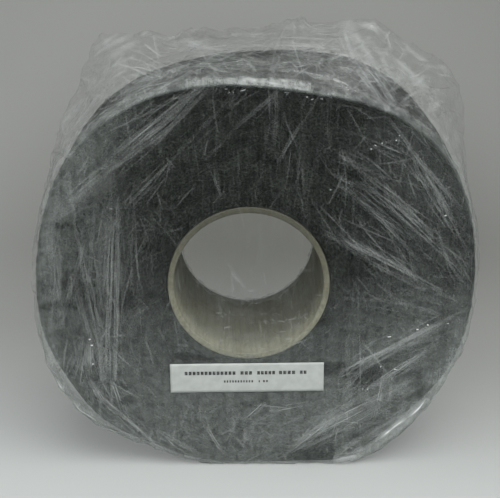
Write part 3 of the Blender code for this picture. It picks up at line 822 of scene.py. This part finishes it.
def creaseMesh(name, profile, path, facing, wide, strength):
    # a strip along each line: one fine crest, or two with a low valley between them, and skirts
    # that run out on the film
    count, n = path.shape[:2]
    along = unit(np.gradient(path, axis=1))
    across = unit(np.cross(facing, along))
    u, rise, show = np.array(profiles[profile])
    wide, strength = wide[:, None], strength[:, None, None]
    t = np.linspace(0, 1, n)
    taper = np.sin(np.pi * np.clip(t, 0.01, 0.99)) ** 0.5
    half = (wide * mm * (0.75 + 0.25 * taper))[..., None]
    tall = creases["tall"] * mm * (0.4 + 0.6 * wide / creases["widths"]["main"][1]) * taper
    points = (path[:, :, None] + across[:, :, None] * (half * u)[..., None]
              + facing[:, :, None] * (tall[..., None] * rise + 0.12 * mm)[..., None])
    points[..., 2] = np.maximum(points[..., 2], 0.1 * mm)
    strip = gridStrip(n, len(u))[:, ::-1]
    faces = (strip[None] + (np.arange(count) * n * len(u))[:, None, None]).reshape(-1, 4)
    made = putMesh(name, points, faces)
    x, z = path[..., :1], path[..., 2:] - axisHeight
    low, upper = ease(-z / creases["lowReach"]), ease(z / 0.06)
    # painted light: brighter below the axis
    seen = (1 + creases["lowGain"] * low
            - creases["clearDim"] * upper * np.exp(-(x / creases["clearWide"]) ** 2))
    # how white each point is: folded film, with painted highlights on the crests and painted light below the
    # axis
    pointData(made, "crest", strength * taper[None, :, None] ** 0.6 * show * seen)
    return made


def roundLines():
    # creases where the front doesn't show them: across the side, gathered over the back and
    # into the bore. Each is start and end as an angle in degrees and a place s on the film
    rng = np.random.default_rng(31)
    out = []
    for _ in range(creases["overSide"]):   # mostly across it
        theta, s, reach = rng.uniform(0, 360), rng.uniform(1.6, 3.3), rng.uniform(0.15, 0.6)
        lean = rng.normal(0, 6)
        out.append((theta, s - reach / 2, theta + lean, min(s + reach / 2, 3.9)))
    for k in range(creases["downBack"]):   # drawn together towards the bore
        theta = k * 360 / creases["downBack"] + rng.normal(0, 1.5)
        a, b = rng.uniform(3.6, 4.5), rng.uniform(4.75, 5.4)
        out.append((theta + rng.normal(0, 3), a, theta, b))
    for _ in range(creases["overBack"]):   # short ones
        theta, s = rng.uniform(0, 360), rng.uniform(4.0, 4.7)
        out.append((theta, s, theta + rng.normal(0, 9), s + rng.uniform(0.05, 0.25)))
    lines = np.array(out)
    t = np.linspace(0, 1, creases["roundPoints"])
    theta = np.radians(lines[:, 0:1] + (lines[:, 2:3] - lines[:, 0:1]) * t
                       + rng.normal(0, 0.8, (len(lines), 1)) * np.sin(np.pi * t))
    path, facing = filmPlace(theta, lines[:, 1:2] + (lines[:, 3:4] - lines[:, 1:2]) * t)
    relax(path, 2)
    wide = rng.uniform(*creases["widths"]["round"], len(lines))
    return path, facing, wide, rng.uniform(*creases["strengths"]["round"], len(lines))


def looseWisps():
    # soft wisps in the loose film, each a short strip along the surface about a way and a heading
    rng = np.random.default_rng(41)
    t = np.linspace(-0.5, 0.5, creases["shortPoints"])
    theta, s, wide, strength = [], [], [], []
    for angle, spread, place, off, turn, count, length, strong in creases["loose"]:
        heading = np.radians(rng.normal(0, turn, (count, 1)))
        run = length * mm * rng.uniform(0.4, 1.6, (count, 1))
        turned = run * np.cos(heading) / (roll["radius"] + 0.015)
        crossed = run * np.sin(heading) / (2 * filmHalf)
        bow = rng.normal(0, 0.15, (count, 1)) * (1 - 4 * t ** 2)
        theta.append(np.radians(rng.normal(angle, spread, (count, 1))) + turned * t)
        s.append(np.clip(rng.normal(place, off, (count, 1)) + crossed * t + bow * run / 0.1, 1.3, 3.4))
        wide.append((0.4 + 1.8 * rng.uniform(0, 1, count) ** 2) * min(length / 14, 1))
        strength.append(strong * rng.uniform(0.3, 1.5, count))
    path, facing = filmPlace(np.concatenate(theta), np.concatenate(s))
    relax(path, 1)
    return path, facing, np.concatenate(wide), np.concatenate(strength)


def filmMaterial():
    # clear polyethylene film: see-through, with a thin cloud of slip that also carries painted light
    # below and along the low rim, fine upright and slanting lines from its stretching, and white wisps
    # round the roll where it is loose, partly painted highlight
    made, tree, shader = newMaterial("clear polyethylene film, blown")
    place = add(tree, "TexCoord", out="Object")
    hazeAndPaintedLight = add(tree, "Attribute", out="Fac", attribute_name="hazeAndPaintedLight")
    loose = add(tree, "Attribute", out="Fac", attribute_name="loose")
    way = add(tree, "Attribute", out="Vector", attribute_name="way")
    drawn = add(tree, "Mapping", {"Vector": place, "Scale": (1, 0.3, 0.05)})
    slanted = add(tree, "Mapping", {
        "Vector": place, "Rotation": (0, math.radians(48), 0), "Scale": (1, 0.3, 0.05)})
    tilted = add(tree, "Mapping", {
        "Vector": place, "Rotation": (0, math.radians(-30), 0), "Scale": (0.4, 1, 1)})
    gathered = add(tree, "Mapping", {"Vector": way, "Scale": (0.16, 1, 1)})
    lines = add(tree, "TexNoise", {              # upright stretch lines about 4 mm apart
        "Vector": drawn, "Scale": 250.0, "Detail": 4.0, "Roughness": 0.7})
    upright = add(tree, "MapRange", (lines, 0.42, 0.72), **smooth)
    slanting = grain(tree, slanted, 250.0, 4.0, 0.7, 0.46, 0.74)
    stretch = add(tree, "Math", (upright, slanting), operation="MAXIMUM")
    stretch = add(tree, "Math", (stretch, 0.35, 0.86), operation="MULTIPLY_ADD")
    # slip, with the painted light that it carries, in a cloud 5 mm and finer, with less to see of it in
    # patches 20 mm apart, where the film lies tight on the wool
    cloud = grain(tree, place, 200.0, 5.0, 0.75, 0.36, 0.64, 0.52, 0.74)
    pressed = grain(tree, tilted, 52.0, 3.0, 0.55, 0.50, 0.66, -0.55, 1.10)
    for part in (pressed, hazeAndPaintedLight, stretch):
        cloud = add(tree, "Math", (cloud, part), operation="MULTIPLY")
    # threads, where the stretch lines' noise passes through its middle
    off = add(tree, "Math", (lines, 0.5), operation="SUBTRACT")
    off = add(tree, "Math", (off,), operation="ABSOLUTE")
    threads = add(tree, "MapRange", (off, 0.0, 0.03, 0.06, 0.0), **smooth)
    wisps = add(tree, "TexNoise", {              # 8 mm apart and 50 mm long
        "Vector": gathered, "Scale": 120.0, "Detail": 4.0, "Roughness": 0.65, "Distortion": 0.4})
    wisps = add(tree, "MapRange", (wisps, 0.50, 0.78), **smooth)
    # the white wisps are whitened film and partly a painted highlight
    white = add(tree, "Math", (wisps, loose), operation="MULTIPLY")
    alpha = add(tree, "Math", (cloud, threads), operation="ADD")
    alpha = add(tree, "Math", (white, 0.32, alpha), operation="MULTIPLY_ADD")
    tone = add(tree, "Mix", {0: loose, 6: "#a2a9a5", 7: "#858885"}, **colours)
    tone = add(tree, "Mix", {0: white, 6: tone, 7: "#c2c6c3"}, **colours)
    feed(shader, {"Base Color": tone, "Roughness": 0.3, "Alpha": alpha})
    return made


def creaseMaterial():
    # the same film where it is folded on itself: two walls, so whiter, with a painted highlight at the
    # crest. The painted shine comes and goes every 12 mm or so, and the few brightest crests are painted
    # white as glints
    made, tree, shader = newMaterial("clear polyethylene film, creased, painted highlights")
    crest = add(tree, "Attribute", out="Fac", attribute_name="crest")
    place = add(tree, "TexCoord", out="Object")
    shine = grain(tree, place, 85.0, 1.0, 0.5, 0.35, 0.62, 0.25, 0.25)
    alpha = add(tree, "Math", (crest, shine), operation="MULTIPLY")
    glint = add(tree, "MapRange", (crest, 1.6, 1.9), **smooth)
    tone = add(tree, "Mix", {0: glint, 6: "#bec3c0", 7: "#ffffff"}, **colours)
    feed(shader, {"Base Color": tone, "Roughness": 0.4, "Alpha": alpha})
    return made


filmFinish, creaseFinish = filmMaterial(), creaseMaterial()
wrap = makeFilm()
wrap.data.materials.append(filmFinish)
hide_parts("film_wrap")
print("film done:", len(wrap.data.polygons), "faces")
filmTree = BVHTree.FromObject(wrap, bpy.context.evaluated_depsgraph_get())
longLines, fineLines, shortLines, wispLines = creaseLines()
creasePieces = [
    creaseMesh("filmCreasesLong", "pair", *onFilm(filmTree, longLines, creases["longPoints"])),
    creaseMesh("filmCreasesFine", "single", *onFilm(filmTree, fineLines, creases["longPoints"])),
    creaseMesh("filmCreasesShort", "single", *onFilm(filmTree, shortLines, creases["shortPoints"])),
    creaseMesh("filmWisps", "soft", *onFilm(filmTree, wispLines, creases["longPoints"])),
    creaseMesh("filmWispsLoose", "soft", *looseWisps()),
    creaseMesh("filmCreasesRound", "single", *roundLines())]
for made in creasePieces:
    made.data.materials.append(creaseFinish)
for made in (wrap, *creasePieces):
    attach(made, "root")
print("creases done:", [len(made.data.polygons) for made in creasePieces], "faces")


# Board core

core = {"cols": 300, "boreRows": 60, "pitch": 0.072, "seamDeep": 0.3 * mm,
        "seamWide": 0.7 * mm, "ripple": 0.08 * mm, "ragged": 0.12 * mm, "rimRound": 0.5 * mm}


def makeCore():
    # a tube wound from strips: a section carried round the axis, with a low step where the
    # inner strip's edges meet, and an uneven cut rim
    theta = np.arange(core["cols"]) * 2 * np.pi / core["cols"]
    inner, c = boreRadius, core["rimRound"]
    rows = []
    for side in (-1, 1):
        section = [(coreRadius - 0.05 * mm, coreHalf - c), (coreRadius - c, coreHalf),
                   (inner + coreWall * 0.66, coreHalf), (inner + coreWall * 0.33, coreHalf),
                   (inner + c, coreHalf), (inner + 0.15 * c, coreHalf - 0.4 * c),
                   (inner, coreHalf - c)]
        for out, y in (section if side < 0 else section[::-1]):
            raw = around(theta, out + 0 * theta, side * y)
            ragged = core["ragged"] * (1 + noise(raw, 0.0018, 71)) * (y > coreHalf - c)
            rows.append(around(theta, out + 0 * theta, side * (y - ragged)))
        if side < 0:
            for y in np.linspace(c - coreHalf, coreHalf - c, core["boreRows"])[1:-1]:
                turn = np.mod(y / core["pitch"] - theta / (2 * np.pi), 1)
                seam = np.exp(-((turn - 0.5) * core["pitch"] / core["seamWide"]) ** 2)
                raw = around(theta, inner + 0 * theta, y)
                out = inner + core["seamDeep"] * seam + core["ripple"] * noise(raw, 0.006, 72)
                rows.append(around(theta, out, y))
    rows = rows[::-1]
    return putMesh("boardCore", np.stack(rows), gridFaces(len(rows), core["cols"], True))


def boardMaterial():
    # unbleached grey board: matt, mottled pulp with darker and lighter fibres, and painted shade that
    # makes it darker above and deep in the bore
    made, tree, shader = newMaterial("grey board, spirally wound")
    place = add(tree, "TexCoord", out="Object")
    drawn = add(tree, "Mapping", {"Vector": place, "Scale": (1, 0.35, 1)})
    along = add(tree, "Mapping", {"Vector": place, "Scale": (1, 0.06, 1)})
    level = grain(tree, drawn, 800.0, 3.0, 0.65, 0.3, 0.7, 0.30)           # 1.2 mm pulp fibres
    level = grain(tree, place, 85.0, 3.0, 0.5, 0.3, 0.7, 0.25, level)      # 12 mm mottle
    level = grain(tree, along, 330.0, 3.0, 0.6, 0.36, 0.64, 0.45, level)   # 3 mm wrinkles of the lining
    _, y, z = add(tree, "SeparateXYZ", (place,)).node.outputs
    # painted shade: darker towards the top and deep in the bore
    above = (z, axisHeight - 0.05, axisHeight + 0.052, 0.0, 0.86)
    inside = (y, 0.5 * mm - coreHalf, 26 * mm - coreHalf, 0.0, 0.50)
    paintedShade = add(tree, "Math", [
        add(tree, "MapRange", reach, **smooth) for reach in (above, inside)], operation="MAXIMUM")
    tone = add(tree, "Mix", {0: level, 6: "#76745f", 7: "#9d9b85"}, **colours)
    tone = add(tree, "Mix", {0: paintedShade, 6: tone, 7: "#3a3930"}, **colours)
    bump = add(tree, "Bump", {"Strength": 0.4, "Distance": 0.0002, "Height": level})
    feed(shader, {"Base Color": tone, "Roughness": 0.9, "Normal": bump})
    return made


boardCore = makeCore()
boardCore.data.materials.append(boardMaterial())
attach(boardCore, "root")
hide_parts("cardboard_core")
print("core done")


# Paper label

label = {"width": 0.106, "height": 0.0217, "gauge": 0.12 * mm, "tilt": math.radians(0.3),
         "shift": -1.2 * mm, "lift": 0.25 * mm, "wave": 0.15 * mm, "ink": 0.03 * mm,
         # print as rows of plain bars: where a row starts across, how many bars, their pitch and
         # width, the row's middle above the label's centre, its height, all in millimetres
         "bars": ((-43, 13, 2.75, 2.0, 3.6, 2.6), (-4.5, 3, 2.9, 2.1, 3.6, 2.6),
                  (7, 5, 2.6, 1.9, 3.6, 2.6), (22, 4, 3.0, 2.2, 3.6, 2.6), (36.5, 2, 2.6, 1.9, 3.6, 2.6),
                  (-16, 11, 1.9, 1.1, -2.8, 1.7), (8, 1, 1.9, 0.8, -2.8, 1.7), (11, 2, 2.1, 1.3, -2.8, 1.7))}


def labelPlace(x, z):
    # a point of the label's front: flat, with its corners lifting a little off the film
    lift = label["lift"] * (0.3 + (np.abs(x) / label["width"] * 2) ** 3)
    wave = label["wave"] * np.sin(x / label["width"] * 7 + 1)
    across = x * math.cos(label["tilt"]) - z * math.sin(label["tilt"]) + label["shift"]
    above = x * math.sin(label["tilt"]) + z * math.cos(label["tilt"]) - labelDrop
    return np.stack([across, labelHigh.y - label["gauge"] - lift - wave, axisHeight + above], axis=-1)


def makeLabel():
    # a grid on the label's front, with the paper's gauge behind it
    x = np.linspace(-0.5, 0.5, 61) * label["width"]
    z = np.linspace(-0.5, 0.5, 13) * label["height"]
    front = labelPlace(*np.meshgrid(x, z))
    made = putMesh("paperLabel", front, gridStrip(13, 61))
    wall = made.modifiers.new("gauge", "SOLIDIFY")
    wall.thickness, wall.offset = label["gauge"], -1.0
    return made


def makePrint():
    # one flat four-cornered face for each bar of each row
    points, faces = [], []
    for start, count, pitch, wide, middle, tall in label["bars"]:
        z = (middle + np.array([-0.5, 0.5]) * tall) * mm
        for k in range(count):
            x = (start + k * pitch + np.array([0, wide])) * mm
            at = labelPlace(*np.meshgrid(x, z))
            at[..., 1] -= label["ink"]
            faces.append(gridStrip(2, 2) + len(points) * 4)
            points.append(at.reshape(-1, 3))
    return putMesh("labelPrint", np.concatenate(points), np.concatenate(faces))


def paperMaterial():
    # uncoated label paper: matt white with a faint pulp mottle
    made, tree, shader = newMaterial("uncoated paper, matt")
    pulp = grain(tree, add(tree, "TexCoord", out="Object"), 160.0, 3.0, 0.5, 0.3, 0.7)
    tone = add(tree, "Mix", {0: pulp, 6: "#b6bab6", 7: "#c1c5c1"}, **colours)
    feed(shader, {"Base Color": tone, "Roughness": 0.75})
    return made


def inkMaterial():
    # toner print: dark grey, worn thin in places
    made, tree, shader = newMaterial("toner print, dark")
    worn = grain(tree, add(tree, "TexCoord", out="Object"), 1100.0, 2.0, 0.5, 0.45, 0.7)
    tone = add(tree, "Mix", {0: worn, 6: "#2f3130", 7: "#6f7270"}, **colours)
    feed(shader, {"Base Color": tone, "Roughness": 0.6})
    return made


paperLabel, labelPrint = makeLabel(), makePrint()
paperLabel.data.materials.append(paperMaterial())
labelPrint.data.materials.append(inkMaterial())
for made in (paperLabel, labelPrint):
    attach(made, "root")
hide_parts("paper_label")
print("label done")


# Floor, backdrop, lamps and camera

stage = {
    "front": -1.6, "bend": 0.42, "bendRadius": 0.35, "top": 1.6, "half": 1.6,
    "floor": "#c6cac8", "wall": "#9a9b98", "shade": "#6e6f6a",
    # the floor's tone ends between two values of the depth plus a share of x, and the painted shadow
    # round its middle between two distances. Further right the painted shade is as dark as nearer the
    # middle
    "floorEnd": (-0.16, 0.20), "slant": 0.16,
    "shadeMiddle": (0.02, 0.47, 0.0), "shadeReach": (0.05, 0.42), "rightShade": (0.02, 0.5, 0.0, 0.32),
    "keySize": 1.1, "keyPower": 19.3, "keyPlace": (0.20, -0.60, 1.30),   # metres and watts
    "fillSize": 1.2, "fillPower": 2.0, "fillPlace": (-0.7, -1.5, 0.9),
    "world": 0.43, "even": 0.35,   # strength of the world, and the glowing share of the backdrop
    "lens": 79.2, "pitch": 19.48, "yaw": 0.99,
}


def makeStage():
    # a sheet that runs level under the part, bends up behind it and goes on as a wall
    t = np.linspace(0, np.pi / 2, 24)
    y = np.concatenate([[stage["front"]], stage["bend"] + stage["bendRadius"] * np.sin(t),
                        [stage["bend"] + stage["bendRadius"]]])
    z = np.concatenate([[0], stage["bendRadius"] * (1 - np.cos(t)), [stage["top"]]]) - 0.1 * mm
    x = np.array([-stage["half"], stage["half"]])
    points = np.stack([np.tile(x, (len(y), 1)), np.tile(y[:, None], 2), np.tile(z[:, None], 2)], -1)
    return putMesh("sweep", points, gridStrip(len(y), 2))


def stageMaterial():
    # matt sheet: pale where it is the floor, grey further up, with a painted shadow round a place
    # behind the part and painted shade further right. Where it is looked at, straight, in a reflection
    # or through something, a part of its tone is its own glow, and what it throws on the part has no
    # glow. It is clear from behind
    made, tree, shader = newMaterial("matt backdrop cloth")
    place = add(tree, "TexCoord", out="Object")
    x, y, _ = add(tree, "SeparateXYZ", (place,)).node.outputs
    depth = add(tree, "Math", (x, stage["slant"], y), operation="MULTIPLY_ADD")
    depth = add(tree, "MapRange", (depth, *stage["floorEnd"]), **smooth)
    # painted shadow round a place behind the part, and painted shade further right
    away = add(tree, "VectorMath", (place, stage["shadeMiddle"]), "Value", operation="DISTANCE")
    away = add(tree, "MapRange", (away, *stage["shadeReach"]), **smooth)
    rightward = add(tree, "MapRange", (x, *stage["rightShade"]), **smooth)
    away = add(tree, "Math", (away, rightward), operation="SUBTRACT")
    tone = add(tree, "Mix", {0: away, 6: stage["shade"], 7: stage["wall"]}, **colours)
    tone = add(tree, "Mix", {0: depth, 6: stage["floor"], 7: tone}, **colours)
    paths = add(tree, "LightPath").node.outputs
    seen = paths["Is Camera Ray"]
    for ray in ("Is Glossy Ray", "Is Transmission Ray"):
        seen = add(tree, "Math", (seen, paths[ray]), operation="MAXIMUM")
    glow = add(tree, "Math", (seen, stage["even"]), operation="MULTIPLY")
    lit = add(tree, "Mix", {0: glow, 6: tone, 7: "#000000"}, **colours)
    behind = add(tree, "NewGeometry", out="Backfacing")
    solid = add(tree, "Math", (1.0, behind), operation="SUBTRACT")
    feed(shader, {"Base Color": lit, "Roughness": 0.9, "Emission Color": tone,
                  "Emission Strength": glow, "Alpha": solid})
    return made


def lamp(name, place, size, power, aim=(0, 0, 0.13)):  # a square soft box that faces the part
    light = bpy.data.lights.new(name, "AREA")
    light.size, light.energy = size, power
    made = bpy.data.objects.new(name, light)
    made.location = place
    made.rotation_euler = (Vector(aim) - Vector(place)).to_track_quat("-Z", "Y").to_euler()
    bpy.context.scene.collection.objects.link(made)


sweep = makeStage()
sweep.data.materials.append(stageMaterial())
lamp("key", stage["keyPlace"], stage["keySize"], stage["keyPower"])
lamp("fill", stage["fillPlace"], stage["fillSize"], stage["fillPower"])
world = bpy.data.worlds.new("studio")
world.use_nodes = True
feed(world.node_tree.nodes["Background"], {"Color": "#e9ecee", "Strength": stage["world"]})
bpy.context.scene.world = world

camera = bpy.data.objects.new("camera", bpy.data.cameras.new("camera"))
camera.data.lens, camera.data.sensor_width = stage["lens"], 36
camera.location = eye
camera.rotation_euler = (math.radians(90 - stage["pitch"]), 0, math.radians(-stage["yaw"]))
bpy.context.scene.collection.objects.link(camera)
bpy.context.scene.camera = camera
bpy.context.scene.view_settings.view_transform = "Standard"
bpy.context.scene.cycles.transparent_max_bounces = 32   # the film lies in many layers
